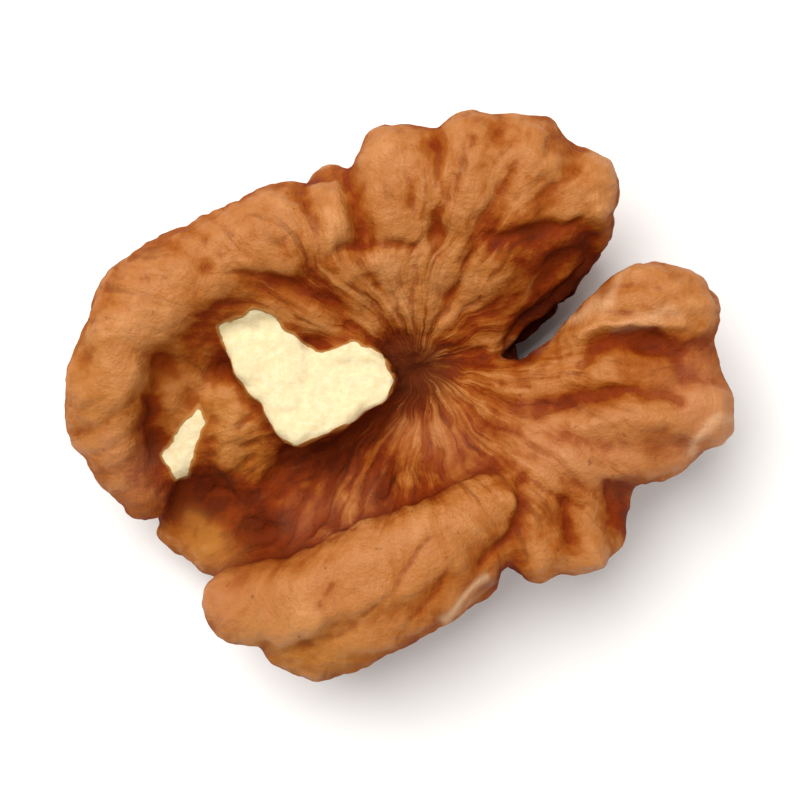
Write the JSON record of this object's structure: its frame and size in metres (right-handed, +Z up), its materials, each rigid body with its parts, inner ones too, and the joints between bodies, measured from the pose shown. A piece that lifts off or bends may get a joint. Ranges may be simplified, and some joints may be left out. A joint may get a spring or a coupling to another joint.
{
  "type": "walnut kernel",
  "caption": "A shelled walnut half, resting with its folded inner side up and the pale break of its bridge showing.",
  "frame": {"origin": "the middle of the bounding box in X and Y, on the table that the kernel rests on", "axes": "+X along the half's length towards the slotted end, +Y across the two wings, +Z up, out of the side that faced the other half"},
  "size_m": [0.0374, 0.032, 0.0137],
  "materials": {
    "skin": "dry thin seed skin with a soft, slightly oily sheen; stands in for nut flesh under a brown skin"
  },
  "bodies": {
    "root": {"kernel": "skin"}
  },
  "joints": []
}
